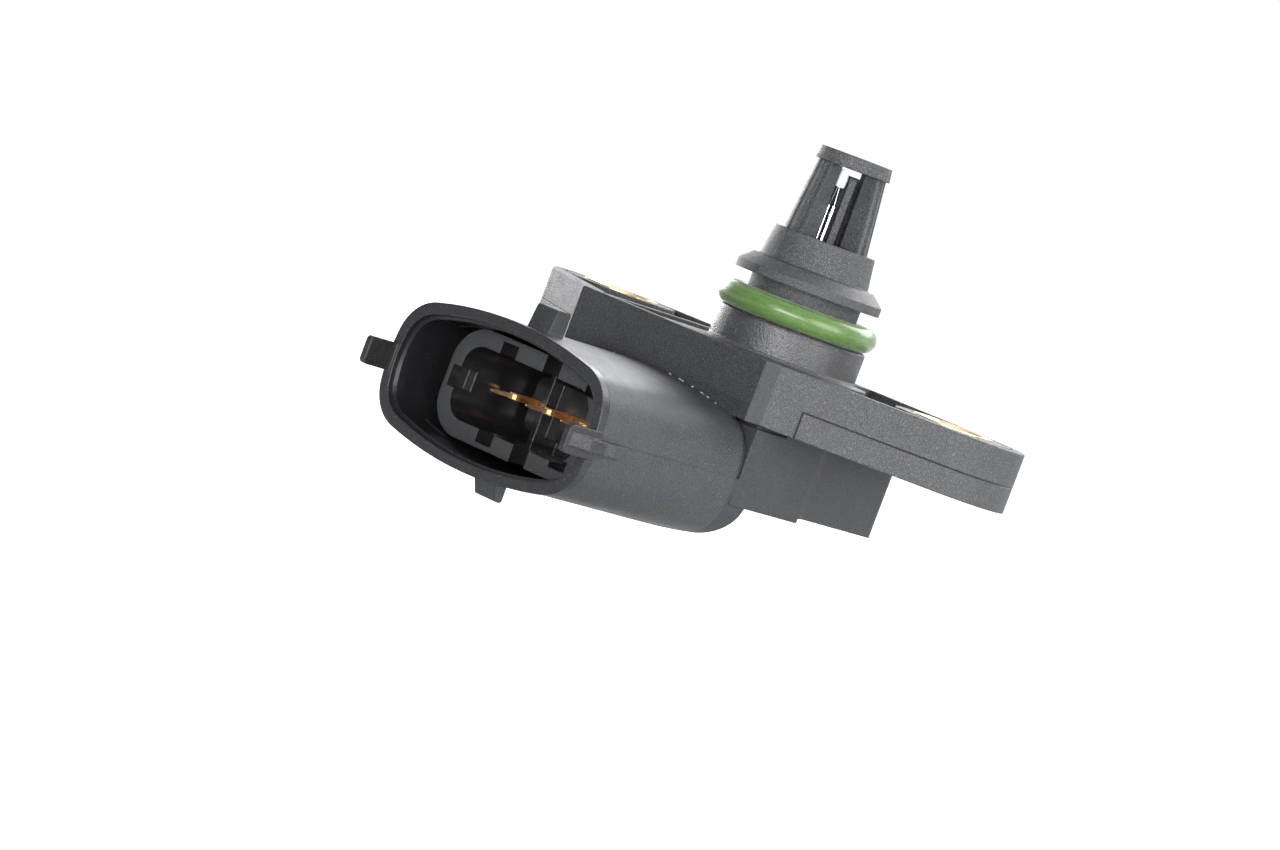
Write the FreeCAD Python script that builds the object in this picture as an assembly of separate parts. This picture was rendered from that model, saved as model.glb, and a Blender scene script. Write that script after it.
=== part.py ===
import FreeCAD, Part
import math
import os

# Intake manifold pressure and temperature sensor, bolted down through two bushed ears.
# Millimetres, +Z up. The origin is on the axis of the port, in the flange face that seals
# against the manifold. The connector opens towards -Y and the two ears lie along X.

V = FreeCAD.Vector
UP = V(0, 0, 1)

# Flange
flange_thickness = 6.4
housing_middle_x = -6.8
front_middle_x = -6.4
front_face_y = -10.4
front_half_width = 13.0
corner_cut_x = 0.45
corner_cut_y = 2.0
ear_radius = 7.8
ear_spacing = 47.5
ear_y = 8.7
flange_edge_radius = 0.25
rim_width = 1.3
pocket_depth = 2.2
port_land_radius = 9.3
ear_land_radius = 6.2
pocket_rib_width = 1.2

# Bushes
bush_bore_radius = 3.25
bush_wall = 1.0
bush_proud = 0.1
bush_chamfer = 0.3

# Electronics box under the flange
box_depth = 7.95
box_front_extra = 0.5
box_front_y = -8.9
box_front_half_width = 13.85
box_rear_inset = 0.5
box_blend_radius = 1.5
box_step_y = 3.2
box_rear_y = 16.4
box_corner_radius = 1.2
box_wall = 1.5
box_ceiling = 5.2
relief_height = 0.4
relief_depth = 0.6
relief_end_y = -4.0
cavity_front_y = -4.7
cover_thickness = 1.2
cover_ledge = 0.75
cover_gap = 0.25
cover_seat_gap = 0.15

# Port
base_radius = 7.925
base_height = 3.6
base_edge_radius = 0.35
foot_fillet = 0.45
groove_radius = 5.9
groove_width = 4.0
collar_radius = 7.8
collar_side_height = 0.9
collar_bevel_radius = 6.55
collar_bevel_height = 1.1
neck_lower_radius = 5.85
neck_upper_radius = 5.4
neck_top = 12.95
bore_radius = 1.3
bore_x = 1.48
bore_y = 0.96

# Cage round the thermistor
cage_lower_radius = 4.5
cage_upper_radius = 3.65
cage_lower_wall = 2.5
cage_upper_wall = 1.8
cage_room_radius = 3.15
cage_floor_drop = 1.6
window_start = -86.0
window_sweep = 84.0
flute_width = 0.7
flute_places = (0.69, 0.875)
ring_bottom = 20.75
ring_height = 1.37
ring_lower_radius = 4.01
ring_upper_radius = 3.83
ring_bore_radius = 2.5
web_turn = 39.4
web_half_width = 1.9
web_front = 1.5
web_back = 2.3
web_clearance = 0.65
fin_left = 0.1
fin_right = 0.85
fin_front = -0.9

# Sealing ring
o_ring_section = 1.31

# Thermistor and its two posts
bead_x = -0.56
bead_y = -0.46
bead_radius = 0.66
bead_drop = 2.1
bead_height = 1.95
post_radius = 0.2
post_spacing_x = 1.37
post_spacing_y = -0.94
post_drop = 2.05
wire_radius = 0.09

# Connector shroud
shroud_axis_z = -12.6
shroud_mouth_y = -32.5
shroud_floor_y = -15.0
plug_gap_side = 2.7
plug_gap_face = 0.83
shroud_face_bow = 2.0
shroud_side_bow = 1.0
shroud_corner_radius = 4.6
shroud_wall = 1.35
band_length = 1.1
band_step = 0.14
seam_z = -12.1
seam_step = 0.06
shroud_upper_end_y = -9.6
shroud_lower_end_y = -6.2
shroud_end_radius = 6.5
neck_inset = 0.4
mouth_chamfer = 0.3
tongue_reach = 3.8
tongue_height = 2.9
tongue_thickness = 0.7
tongue_drop = 0.2
tongue_radius = 0.5
nose_height = 1.3
nose_out = 0.9
lug_half_width = 1.45
lug_depth = 2.4
lug_start = 3.2
upper_lug_height = 2.42
upper_lug_lean = 0.5
lower_lug_height = 1.85
lower_lug_lean = 1.5

# Inner collar and the foot round the pins
inner_collar_side_room = 1.3
inner_collar_half_height = 5.65
inner_collar_wall = 1.6
inner_collar_top_wall = 1.8
inner_collar_lift = 0.15
inner_collar_radius = 3.9
inner_collar_setback = 4.5
key_width = 2.2
key_depth = 2.6
key_closed = 1.3
key_open = 2.3
key_slots = ((-3.56, 1, key_closed), (2.48, 1, key_open), (8.55, 1, key_open),
             (-2.63, -1, key_closed), (2.35, -1, key_open), (7.45, -1, 0.6))
side_key_skin = 0.5
pin_foot_height = 2.0
pin_foot_margin = 0.6
pin_foot_half_height = 2.85
divider_width = 0.7
divider_height = 1.6

# Terminals
pin_count = 4
pin_pitch = 5.0
pin_setback = 4.0
pin_width = 1.0
pin_thickness = 0.64
pin_nose_length = 3.4
pin_nose_width = 0.55
pin_nose_thickness = 0.4
crank_y = -12.0
tab_width = 1.6
tab_length = 1.7
tab_shelf_drop = 2.1

# Sensing circuit
board_thickness = 0.65
board_length_x = 20.2
board_length_y = 14.2
board_edge_gap = 0.45
board_standoff = 0.85
glue_ring_width = 0.7
glass_size = 1.7
glass_height = 1.0
die_height = 0.4
gel_cover = 0.45
chip_size = 3.4
chip_height = 0.9
capacitor_length = 1.6
capacitor_width = 0.8
capacitor_height = 0.8
bond_radius = 0.12
bond_reach = 1.5
bond_sag = 1.1


def polar(radius, degrees, z=0.0, centre=(0.0, 0.0)):
    """Point at an angle on a circle."""
    turn = math.radians(degrees)
    return V(centre[0] + radius * math.cos(turn), centre[1] + radius * math.sin(turn), z)


def face_of(edges):
    return Part.Face(Part.Wire(edges))


def polygon_face(points):
    return Part.Face(Part.makePolygon(points + [points[0]]))


def block(x0, x1, y0, y1, z0, z1):
    return Part.makeBox(x1 - x0, y1 - y0, z1 - z0, V(x0, y0, z0))


def upright_edges(shape, axis=2, longer_than=0.5):
    """Straight edges parallel to one axis."""
    found = []
    for edge in shape.Edges:
        if edge.Curve.TypeId != "Part::GeomLine" or edge.Length < longer_than:
            continue
        along = edge.tangentAt(edge.FirstParameter)
        if abs(abs(along[axis]) - 1.0) < 1e-6:
            found.append(edge)
    return found


def rounded_block(x0, x1, y0, y1, z0, z1, radius):
    shape = block(x0, x1, y0, y1, z0, z1)
    return shape.makeFillet(radius, upright_edges(shape))


def revolved(points):
    """Solid of revolution about Z from points given as radius and height."""
    return polygon_face([V(r, 0, z) for r, z in points]).revolve(V(0, 0, 0), UP, 360)


def revolved_edges(edges):
    return face_of(edges).revolve(V(0, 0, 0), UP, 360)


def save(name, shape):
    solid = shape.removeSplitter()
    if solid.ShapeType == "Compound" and len(solid.Solids) == 1:
        solid = solid.Solids[0]
    solid.exportStep(os.path.join("parts", name + ".step"))
    return solid


# Places that several pieces share
bush_outer_radius = bush_bore_radius + bush_wall
bead_bottom = ring_bottom - bead_drop
post_top = bead_bottom - post_drop
pin_row_half = (pin_count - 1) / 2 * pin_pitch
inner_collar_half_width = pin_row_half + inner_collar_side_room + inner_collar_wall
shroud_half_width = inner_collar_half_width + plug_gap_side + shroud_wall
shroud_half_height = inner_collar_half_height + plug_gap_face + shroud_wall
inner_collar_y = shroud_mouth_y + inner_collar_setback
pin_tip_y = inner_collar_y + pin_setback
ear_x = [housing_middle_x - ear_spacing / 2, housing_middle_x + ear_spacing / 2]
flange_bottom = -flange_thickness
box_bottom = flange_bottom - box_depth
collar_bottom = base_height + groove_width
collar_top = collar_bottom + collar_side_height
bevel_top = collar_top + collar_bevel_height
cage_floor = neck_top - cage_floor_drop
ring_top = ring_bottom + ring_height
inner_collar_z = shroud_axis_z + inner_collar_lift
cavity_rear_y = box_rear_y - box_wall
cavity_half_width = box_front_half_width - box_rear_inset - box_wall
cavity_left = front_middle_x - cavity_half_width
cavity_right = front_middle_x + cavity_half_width
tab_top = -box_ceiling - tab_shelf_drop
tab_end_y = cavity_front_y + tab_length
board_right = cavity_right - board_edge_gap
board_front = tab_end_y + board_edge_gap
board_top = -box_ceiling - board_standoff
board_bottom = board_top - board_thickness
post_places = [
    (bead_x + post_spacing_x / 2, bead_y + post_spacing_y / 2),
    (bead_x - post_spacing_x / 2, bead_y - post_spacing_y / 2),
]
pin_places = [housing_middle_x + (i - (pin_count - 1) / 2) * pin_pitch for i in range(pin_count)]


# Flange: a front face, two sides that run tangent into the ears, and a straight rear edge
def tangent_side(corner, side):
    """Tangent point on one ear for the line from a front corner, and the angle there."""
    centre = V(ear_x[1] if side > 0 else ear_x[0], ear_y, 0)
    reach = centre - corner
    heading = math.atan2(reach.y, reach.x)
    spread = math.asin(ear_radius / reach.Length)
    length = math.sqrt(reach.Length ** 2 - ear_radius ** 2)
    turn = heading - side * spread
    point = corner + V(length * math.cos(turn), length * math.sin(turn), 0)
    angle = math.degrees(math.atan2(point.y - centre.y, point.x - centre.x))
    return centre, point, angle


def flange_outline():
    left = V(front_middle_x - front_half_width, front_face_y, 0)
    right = V(front_middle_x + front_half_width, front_face_y, 0)
    left_cut = left + V(-corner_cut_x, corner_cut_y, 0)
    right_cut = right + V(corner_cut_x, corner_cut_y, 0)
    c1, t1, a1 = tangent_side(right_cut, 1)
    c0, t0, a0 = tangent_side(left_cut, -1)
    a0 = a0 % 360
    m1 = polar(ear_radius, (a1 + 90) / 2, 0, (c1.x, c1.y))
    m0 = polar(ear_radius, (90 + a0) / 2, 0, (c0.x, c0.y))
    top1 = c1 + V(0, ear_radius, 0)
    top0 = c0 + V(0, ear_radius, 0)
    return Part.Wire([
        Part.makeLine(left, right),
        Part.makeLine(right, right_cut),
        Part.makeLine(right_cut, t1),
        Part.Arc(t1, m1, top1).toShape(),
        Part.makeLine(top1, top0),
        Part.Arc(top0, m0, t0).toShape(),
        Part.makeLine(t0, left_cut),
        Part.makeLine(left_cut, left),
    ])


outline = Part.Face(flange_outline())
plate = outline.extrude(V(0, 0, -flange_thickness))
rim_edges = [e for e in plate.Edges if all(abs(v.Z) < 1e-6 for v in e.Vertexes)]
plate = plate.makeFillet(flange_edge_radius, rim_edges)

# Pockets in the flange face, between the rim, the port land and the ear lands
inside = outline.makeOffset2D(-rim_width)
pocket = inside.extrude(V(0, 0, -pocket_depth))
pocket = pocket.cut(Part.makeCylinder(port_land_radius, pocket_depth, V(0, 0, -pocket_depth)))
for x in ear_x:
    pocket = pocket.cut(Part.makeCylinder(ear_land_radius, pocket_depth, V(x, ear_y, -pocket_depth)))
port_strip = block(-port_land_radius, port_land_radius, front_face_y, 0, -pocket_depth, 0)
pocket = pocket.cut(port_strip)
rib_x = (ear_x[0] + ear_land_radius - port_land_radius) / 2
pocket = pocket.cut(block(rib_x - pocket_rib_width / 2, rib_x + pocket_rib_width / 2,
                          front_face_y, ear_y + ear_radius, -pocket_depth, 0))
pocket = pocket.cut(block(-pocket_rib_width / 2, pocket_rib_width / 2,
                          0, ear_y + ear_radius, -pocket_depth, 0))
pocket_solids = [s for s in pocket.Solids if s.Volume > 6.0]

# Electronics box: the front part is wider and deeper, and its sides blend into the rear part
def box_side(side):
    """Edges of one side in plan, from the front corner to the step."""
    wide = side * box_front_half_width
    swing = math.acos(1 - box_rear_inset / (2 * box_blend_radius))
    run = box_blend_radius * math.sin(swing)
    half_swing = swing / 2
    start = V(front_middle_x + wide, box_step_y - run, 0)
    out = box_blend_radius * (1 - math.cos(half_swing))
    along = box_blend_radius * math.sin(half_swing)
    first = start + V(-side * out, along, 0)
    middle = start + V(-side * box_rear_inset / 2, run, 0)
    end = middle + V(-side * box_rear_inset / 2, run, 0)
    second = end + V(side * out, -along, 0)
    front = V(front_middle_x + wide, box_front_y, 0)
    rear = V(end.x, box_rear_y, 0)
    edges = [Part.makeLine(front, start), Part.Arc(start, first, middle).toShape(),
             Part.Arc(middle, second, end).toShape(), Part.makeLine(end, rear)]
    return front, rear, edges


right_front, right_rear, right_edges = box_side(1)
left_front, left_rear, left_edges = box_side(-1)
box_plan = face_of(right_edges + [Part.makeLine(right_rear, left_rear)]
                   + left_edges[::-1] + [Part.makeLine(left_front, right_front)])
box_plan.translate(V(0, 0, box_bottom))
box_body = box_plan.extrude(V(0, 0, box_depth))
box_body = box_body.makeFillet(
    box_corner_radius, [e for e in upright_edges(box_body) if e.Vertexes[0].Y > box_rear_y - 0.1])
front_body = block(front_middle_x - box_front_half_width, front_middle_x + box_front_half_width,
                   box_front_y, box_step_y, box_bottom - box_front_extra, box_bottom + 0.5)
front_body = front_body.makeFillet(
    box_corner_radius, [e for e in upright_edges(front_body) if e.Vertexes[0].Y > box_step_y - 0.1])
box_body = box_body.fuse(front_body)

# Relief under the flange, round the front corners of the box
relief_low = flange_bottom - relief_height
relief = [block(front_middle_x - box_front_half_width - 1, front_middle_x + box_front_half_width + 1,
                box_front_y - 0.5, box_front_y + relief_depth, relief_low, flange_bottom)]
for side in (-1, 1):
    near = front_middle_x + side * (box_front_half_width - relief_depth)
    far = front_middle_x + side * (box_front_half_width + 1)
    relief.append(block(min(near, far), max(near, far), box_front_y - 0.5, relief_end_y, relief_low, flange_bottom))
box_body = box_body.cut(relief)


# Port: one turned outline from the foot fillet to the neck
def port_body():
    foot = V(base_radius + foot_fillet, 0, 0)
    foot_top = V(base_radius, 0, foot_fillet)
    foot_middle = V(base_radius + foot_fillet * (1 - math.sin(math.pi / 4)), 0,
                    foot_fillet * (1 - math.cos(math.pi / 4)))
    edge_low = V(base_radius, 0, base_height - base_edge_radius)
    edge_high = V(base_radius - base_edge_radius, 0, base_height)
    edge_middle = V(base_radius - base_edge_radius * (1 - math.cos(math.pi / 4)), 0,
                    base_height - base_edge_radius * (1 - math.sin(math.pi / 4)))
    lines = [edge_high, V(groove_radius, 0, base_height), V(groove_radius, 0, collar_bottom),
             V(collar_radius, 0, collar_bottom), V(collar_radius, 0, collar_top),
             V(collar_bevel_radius, 0, bevel_top), V(neck_lower_radius, 0, bevel_top + 0.1),
             V(neck_upper_radius, 0, neck_top), V(0, 0, neck_top), V(0, 0, -1.0),
             V(base_radius + foot_fillet, 0, -1.0), foot]
    edges = [Part.Arc(foot, foot_middle, foot_top).toShape(),
             Part.makeLine(foot_top, edge_low),
             Part.Arc(edge_low, edge_middle, edge_high).toShape()]
    edges += [Part.makeLine(a, b) for a, b in zip(lines, lines[1:])]
    return revolved_edges(edges)


port = port_body()

# Cage: a tapered wall with two windows and a ring on top
cage_wall = revolved([
    (cage_room_radius, neck_top), (cage_room_radius, neck_top - 0.5), (cage_lower_radius, neck_top - 0.5),
    (cage_lower_radius, neck_top), (cage_upper_radius, ring_bottom), (cage_upper_radius, ring_bottom + 0.5),
    (ring_bore_radius, ring_bottom + 0.5), (ring_bore_radius, ring_bottom),
    (cage_upper_radius - cage_upper_wall, ring_bottom), (cage_lower_radius - cage_lower_wall, neck_top)])


def sector(start, sweep, radius, z0, z1):
    """Wedge of a disc, for the windows of the cage."""
    steps = [start, start + sweep / 2, start + sweep]
    far = [polar(radius, a, z0) for a in steps]
    centre = V(0, 0, z0)
    edges = [Part.makeLine(centre, far[0]), Part.Arc(*far).toShape(), Part.makeLine(far[2], centre)]
    return face_of(edges).extrude(V(0, 0, z1 - z0))


for opposite in (0, 180):
    cage_wall = cage_wall.cut(sector(window_start + opposite, window_sweep, 2 * cage_lower_radius,
                                     neck_top, ring_bottom))
rib_sweep = 180 - window_sweep
for opposite in (0, 180):
    for place in flute_places:
        share = place if opposite else 1 - place
        turn = window_start + window_sweep + opposite + rib_sweep * share
        low = polar(cage_lower_radius, turn, neck_top)
        high = polar(cage_upper_radius, turn, ring_bottom)
        flute = Part.makeCylinder(flute_width / 2, (high - low).Length, low, high - low)
        cage_wall = cage_wall.cut(flute)
cage_ring = revolved([
    (ring_bore_radius, ring_bottom), (ring_lower_radius, ring_bottom),
    (ring_upper_radius, ring_top), (ring_bore_radius, ring_top)])

# Upright web behind the thermistor, across the cage, and a fin that stands out of it
web_low = cage_floor - 0.5
web_top = ring_bottom - web_clearance
web = block(-web_half_width, web_half_width, web_front, web_back, web_low, web_top)
web = web.fuse(block(fin_left, fin_right, fin_front, web_front + 0.1, web_low, web_top - 0.2))
web.rotate(V(0, 0, 0), UP, web_turn)


# Connector shroud: every section is a rectangle with bowed sides and round corners
def shroud_block(half_width, half_height, y0, y1, radius):
    """Bowed rectangle in XZ, from y0 to y1."""
    a = half_width - shroud_side_bow
    b = half_height - shroud_face_bow
    corners = [V(housing_middle_x + x, y0, shroud_axis_z + z) for x, z in ((-a, -b), (a, -b), (a, b), (-a, b))]
    middles = [V(housing_middle_x + x, y0, shroud_axis_z + z)
               for x, z in ((0, -half_height), (half_width, 0), (0, half_height), (-half_width, 0))]
    edges = [Part.Arc(corners[i], middles[i], corners[(i + 1) % 4]).toShape() for i in range(4)]
    shape = face_of(edges).extrude(V(0, y1 - y0, 0))
    return shape.makeFillet(radius, upright_edges(shape, 1))


def tube_block(inset, y1):
    """Shroud section that lies a little inside the band at the mouth."""
    return shroud_block(shroud_half_width - inset, shroud_half_height - inset,
                        shroud_mouth_y + 0.5, y1, shroud_corner_radius - inset)


# The half above the seam ends in a flat face, and the half below it in a round end
far = 40.0
above_seam = block(-far, far, -far, far, seam_z, far)
upper_tube = tube_block(band_step, shroud_upper_end_y).common(above_seam)
upper_neck = tube_block(band_step + neck_inset, box_front_y + 0.5).common(above_seam)
lower_low = shroud_axis_z - shroud_half_height - 1
lower_end = block(-far, far, -far, shroud_lower_end_y, lower_low, seam_z)
lower_end = lower_end.cut(block(-far, far, shroud_lower_end_y - shroud_end_radius, shroud_lower_end_y,
                                lower_low, shroud_axis_z - shroud_half_height + shroud_end_radius))
lower_end = lower_end.fuse(Part.makeCylinder(
    shroud_end_radius, 2 * far,
    V(-far, shroud_lower_end_y - shroud_end_radius, shroud_axis_z - shroud_half_height + shroud_end_radius),
    V(1, 0, 0)).common(block(-far, far, -far, shroud_lower_end_y, lower_low, seam_z)))
lower_tube = tube_block(band_step + seam_step, shroud_lower_end_y).common(lower_end)
band = shroud_block(shroud_half_width, shroud_half_height, shroud_mouth_y,
                    shroud_mouth_y + band_length, shroud_corner_radius)
tube_inner = shroud_block(shroud_half_width - shroud_wall, shroud_half_height - shroud_wall,
                          shroud_mouth_y - 1.0, shroud_floor_y, shroud_corner_radius - shroud_wall)
mouth_cut = shroud_block(shroud_half_width - shroud_wall + mouth_chamfer,
                         shroud_half_height - shroud_wall + mouth_chamfer,
                         shroud_mouth_y - 1.0, shroud_mouth_y + 0.8,
                         shroud_corner_radius - shroud_wall + mouth_chamfer)


def side_latch(side):
    """Tongue in front of the mouth with a nose on its outer face."""
    inner = shroud_half_width - tongue_thickness
    tip_y = shroud_mouth_y - tongue_reach
    middle_z = shroud_axis_z - tongue_drop
    pad = block(inner, shroud_half_width, tip_y, shroud_mouth_y + 1.0,
                middle_z - tongue_height / 2, middle_z + tongue_height / 2)
    pad = pad.makeFillet(tongue_radius, [e for e in upright_edges(pad, 0) if e.Vertexes[0].Y < tip_y + 0.1])
    x = shroud_half_width
    nose = polygon_face([
        V(x - 0.5, tip_y + 0.5, 0), V(x, tip_y + 0.5, 0), V(x + nose_out, tip_y + 2.7, 0),
        V(x + nose_out, tip_y + 6.5, 0), V(x + nose_out * 0.5, tip_y + 6.5, 0),
        V(x + nose_out * 0.5, tip_y + 8.3, 0), V(x - 0.5, tip_y + 8.3, 0)])
    nose = nose.extrude(V(0, 0, nose_height))
    nose.translate(V(0, 0, middle_z - nose_height / 2))
    latch = pad.fuse(nose)
    if side < 0:
        latch = latch.mirror(V(0, 0, 0), V(1, 0, 0))
    latch.translate(V(housing_middle_x, 0, 0))
    return latch


def face_lug(side, height, lean):
    """Locking lug on the wide side of the shroud, behind the band."""
    foot = shroud_half_height - 0.8
    top = shroud_half_height + height
    y = shroud_mouth_y + lug_start
    lug = polygon_face([
        V(-lug_half_width, y, foot), V(-lug_half_width, y + lug_depth, foot),
        V(-lug_half_width, y + lug_depth, top), V(-lug_half_width, y + lean, top)])
    lug = lug.extrude(V(2 * lug_half_width, 0, 0))
    tips = [e for e in upright_edges(lug, 0) if e.Vertexes[0].Z > top - 0.1]
    lug = lug.makeFillet(0.35, tips)
    if side < 0:
        lug = lug.mirror(V(0, 0, 0), V(0, 0, 1))
    lug.translate(V(housing_middle_x, 0, shroud_axis_z))
    return lug


# Inner collar round the pins, with key slots in its front edge
def rounded_bar(half_width, half_height, y0, y1, radius, middle_z):
    shape = block(housing_middle_x - half_width, housing_middle_x + half_width, y0, y1,
                  middle_z - half_height, middle_z + half_height)
    return shape.makeFillet(radius, upright_edges(shape, 1))


collar_ring = rounded_bar(inner_collar_half_width, inner_collar_half_height,
                          inner_collar_y, shroud_floor_y + 0.5, inner_collar_radius, inner_collar_z)
key_inner = inner_collar_half_height - inner_collar_top_wall
collar_hole = rounded_bar(inner_collar_half_width - inner_collar_wall, key_inner, inner_collar_y - 0.5,
                          shroud_floor_y, inner_collar_radius - inner_collar_wall, inner_collar_z)
collar_ring = collar_ring.cut(collar_hole)
for key_x, side, depth in key_slots:
    z0, z1 = sorted((side * (key_inner - 0.5), side * (key_inner + depth)))
    x0 = housing_middle_x + key_x - key_width / 2
    collar_ring = collar_ring.cut(block(x0, x0 + key_width, inner_collar_y - 0.5, inner_collar_y + key_depth,
                                        inner_collar_z + z0, inner_collar_z + z1))
for side in (-1, 1):
    near = inner_collar_half_width - inner_collar_wall - 0.5
    far_side = inner_collar_half_width - side_key_skin
    x0, x1 = sorted((housing_middle_x + side * near, housing_middle_x + side * far_side))
    collar_ring = collar_ring.cut(block(x0, x1, inner_collar_y - 0.5, inner_collar_y + key_depth,
                                        inner_collar_z - key_width / 2, inner_collar_z + key_width / 2))
pin_foot_half = pin_row_half + pin_foot_margin
pin_foot = rounded_bar(pin_foot_half, pin_foot_half_height, shroud_floor_y - pin_foot_height,
                       shroud_floor_y + 0.5, min(pin_foot_half_height, pin_foot_half) * 0.35, shroud_axis_z)
divider_x = housing_middle_x - pin_row_half + pin_pitch / 2
divider = block(divider_x - divider_width / 2, divider_x + divider_width / 2,
                shroud_floor_y - pin_foot_height - divider_height, shroud_floor_y,
                inner_collar_z - key_inner, inner_collar_z + key_inner)


# Terminals: nose, blade, crank inside the wall and a tab in the electronics box
def terminal_shape(x):
    half = pin_thickness / 2
    blade_front = pin_tip_y + pin_nose_length
    z_low = shroud_axis_z
    nose = Part.makeLoft([
        Part.makePolygon([V(x + sx * w / 2, y, z_low + sz * t / 2)
                          for sx, sz in ((-1, -1), (1, -1), (1, 1), (-1, 1), (-1, -1))])
        for y, w, t in ((pin_tip_y, pin_nose_width * 0.35, pin_nose_thickness * 0.35),
                        (pin_tip_y + 0.9, pin_nose_width, pin_nose_thickness),
                        (blade_front, pin_nose_width, pin_nose_thickness))], True, True)
    lower = polygon_face([
        V(x - pin_width / 2, blade_front, z_low - half), V(x - pin_width / 2, crank_y + half, z_low - half),
        V(x - pin_width / 2, crank_y + half, tab_top - pin_thickness),
        V(x - pin_width / 2, cavity_front_y, tab_top - pin_thickness),
        V(x - pin_width / 2, cavity_front_y, tab_top), V(x - pin_width / 2, crank_y - half, tab_top),
        V(x - pin_width / 2, crank_y - half, z_low + half), V(x - pin_width / 2, blade_front, z_low + half),
    ]).extrude(V(pin_width, 0, 0))
    tab = block(x - tab_width / 2, x + tab_width / 2, cavity_front_y, tab_end_y, tab_top - pin_thickness, tab_top)
    return nose.fuse([lower, tab]).removeSplitter()


terminals = [terminal_shape(x) for x in pin_places]

# Cavity of the electronics box, open below, with the shelf for the tabs and the cover's rebate
cavity = rounded_block(cavity_left, cavity_right, cavity_front_y, cavity_rear_y,
                       box_bottom - 1.0, -box_ceiling, box_corner_radius)
shelf = block(cavity_left - 1, cavity_right + 1, cavity_front_y - 0.5, tab_end_y, tab_top, -box_ceiling + 0.5)
rebate = rounded_block(cavity_left - cover_ledge, cavity_right + cover_ledge,
                       cavity_front_y - cover_ledge, cavity_rear_y + cover_ledge,
                       box_bottom - 1.0, box_bottom + cover_thickness + cover_seat_gap, box_corner_radius + cover_ledge)
cavity = cavity.cut(shelf)

# Housing moulding
housing = plate.cut(pocket_solids)
housing = housing.fuse([box_body, port])
housing = housing.fuse([upper_tube, upper_neck, lower_tube, band, side_latch(-1), side_latch(1),
                        face_lug(1, upper_lug_height, upper_lug_lean),
                        face_lug(-1, lower_lug_height, lower_lug_lean)])
housing = housing.cut([tube_inner, mouth_cut])
housing = housing.fuse([collar_ring, pin_foot, divider])
housing = housing.cut([cavity, rebate])
for x in ear_x:
    housing = housing.cut(Part.makeCylinder(bush_outer_radius, 3 * flange_thickness, V(x, ear_y, -2 * flange_thickness)))
cage_room = Part.makeCylinder(cage_room_radius, neck_top - cage_floor + 0.01, V(0, 0, cage_floor))
housing = housing.cut(cage_room)
housing = housing.fuse([cage_wall, cage_ring])
housing = housing.fuse(web)
bore = Part.makeCylinder(bore_radius, cage_floor + box_ceiling + 0.02, V(bore_x, bore_y, -box_ceiling - 0.01))
housing = housing.cut(bore)
posts = []
for x, y in post_places:
    post = Part.makeCylinder(post_radius, post_top - board_bottom, V(x, y, board_bottom))
    posts.append(post)
housing = housing.cut(posts + terminals)

# Bushes: turned brass, chamfered at both ends of the bore
def bush_shape(x):
    half = bush_outer_radius - bush_bore_radius
    low = flange_bottom - bush_proud
    profile = revolved([
        (bush_bore_radius + bush_chamfer, low), (bush_outer_radius, low), (bush_outer_radius, bush_proud),
        (bush_bore_radius + bush_chamfer, bush_proud), (bush_bore_radius, bush_proud - min(bush_chamfer, half)),
        (bush_bore_radius, low + min(bush_chamfer, half))])
    profile.translate(V(x, ear_y, 0))
    return profile


# Sealing ring, resting on the shoulder of the base
o_ring_centre = base_height + o_ring_section
o_ring = Part.makeTorus(groove_radius + o_ring_section, o_ring_section, V(0, 0, o_ring_centre))

# Thermistor bead and its two fine wires
bead = revolved([(0, bead_bottom), (bead_radius * 0.86, bead_bottom), (bead_radius, bead_bottom + 0.2),
                 (bead_radius, bead_bottom + bead_height * 0.5),
                 (bead_radius * 0.82, bead_bottom + bead_height * 0.78),
                 (bead_radius * 0.42, bead_bottom + bead_height * 0.96), (0, bead_bottom + bead_height)])
bead.translate(V(bead_x, bead_y, 0))
wires = []
for x, y in post_places:
    start = V(x, y, post_top)
    share = 0.36
    end = V(bead_x + (x - bead_x) * share, bead_y + (y - bead_y) * share, bead_bottom)
    wires.append(Part.makeCylinder(wire_radius, (end - start).Length, start, end - start))
wires = [w.cut(bead).cut(p) for w, p in zip(wires, posts)]

# Cover that closes the electronics box, and the bead of sealant round it
cover = rounded_block(cavity_left - cover_ledge + cover_gap, cavity_right + cover_ledge - cover_gap,
                      cavity_front_y - cover_ledge + cover_gap, cavity_rear_y + cover_ledge - cover_gap,
                      box_bottom, box_bottom + cover_thickness, box_corner_radius + cover_ledge - cover_gap)
sealant_outer = rounded_block(cavity_left - cover_ledge, cavity_right + cover_ledge,
                              cavity_front_y - cover_ledge, cavity_rear_y + cover_ledge,
                              box_bottom + 0.1, box_bottom + cover_thickness + cover_seat_gap,
                              box_corner_radius + cover_ledge)
sealant_inner = rounded_block(cavity_left, cavity_right, cavity_front_y, cavity_rear_y,
                              box_bottom, box_bottom + 2 * cover_thickness, box_corner_radius)
sealant = sealant_outer.cut([cover, sealant_inner])

# Sensing circuit on its ceramic board, glued round the foot of the port's bore
board = block(board_right - board_length_x, board_right, board_front, board_front + board_length_y,
              board_bottom, board_top)
for x, y in post_places:
    board = board.cut(Part.makeCylinder(post_radius + 0.08, 3 * board_thickness, V(x, y, board_bottom - board_thickness)))
glue_ring = Part.makeCylinder(bore_radius + glue_ring_width, board_standoff, V(bore_x, bore_y, board_top))
glue_ring = glue_ring.cut(Part.makeCylinder(bore_radius, board_standoff, V(bore_x, bore_y, board_top)))
half_glass = min(glass_size / 2, bore_radius * 0.68)
glass = block(bore_x - half_glass, bore_x + half_glass, bore_y - half_glass, bore_y + half_glass,
              board_top, board_top + glass_height)
die = block(bore_x - half_glass, bore_x + half_glass, bore_y - half_glass, bore_y + half_glass,
            board_top + glass_height, board_top + glass_height + die_height)
gel_top = board_top + glass_height + die_height + gel_cover
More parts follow.
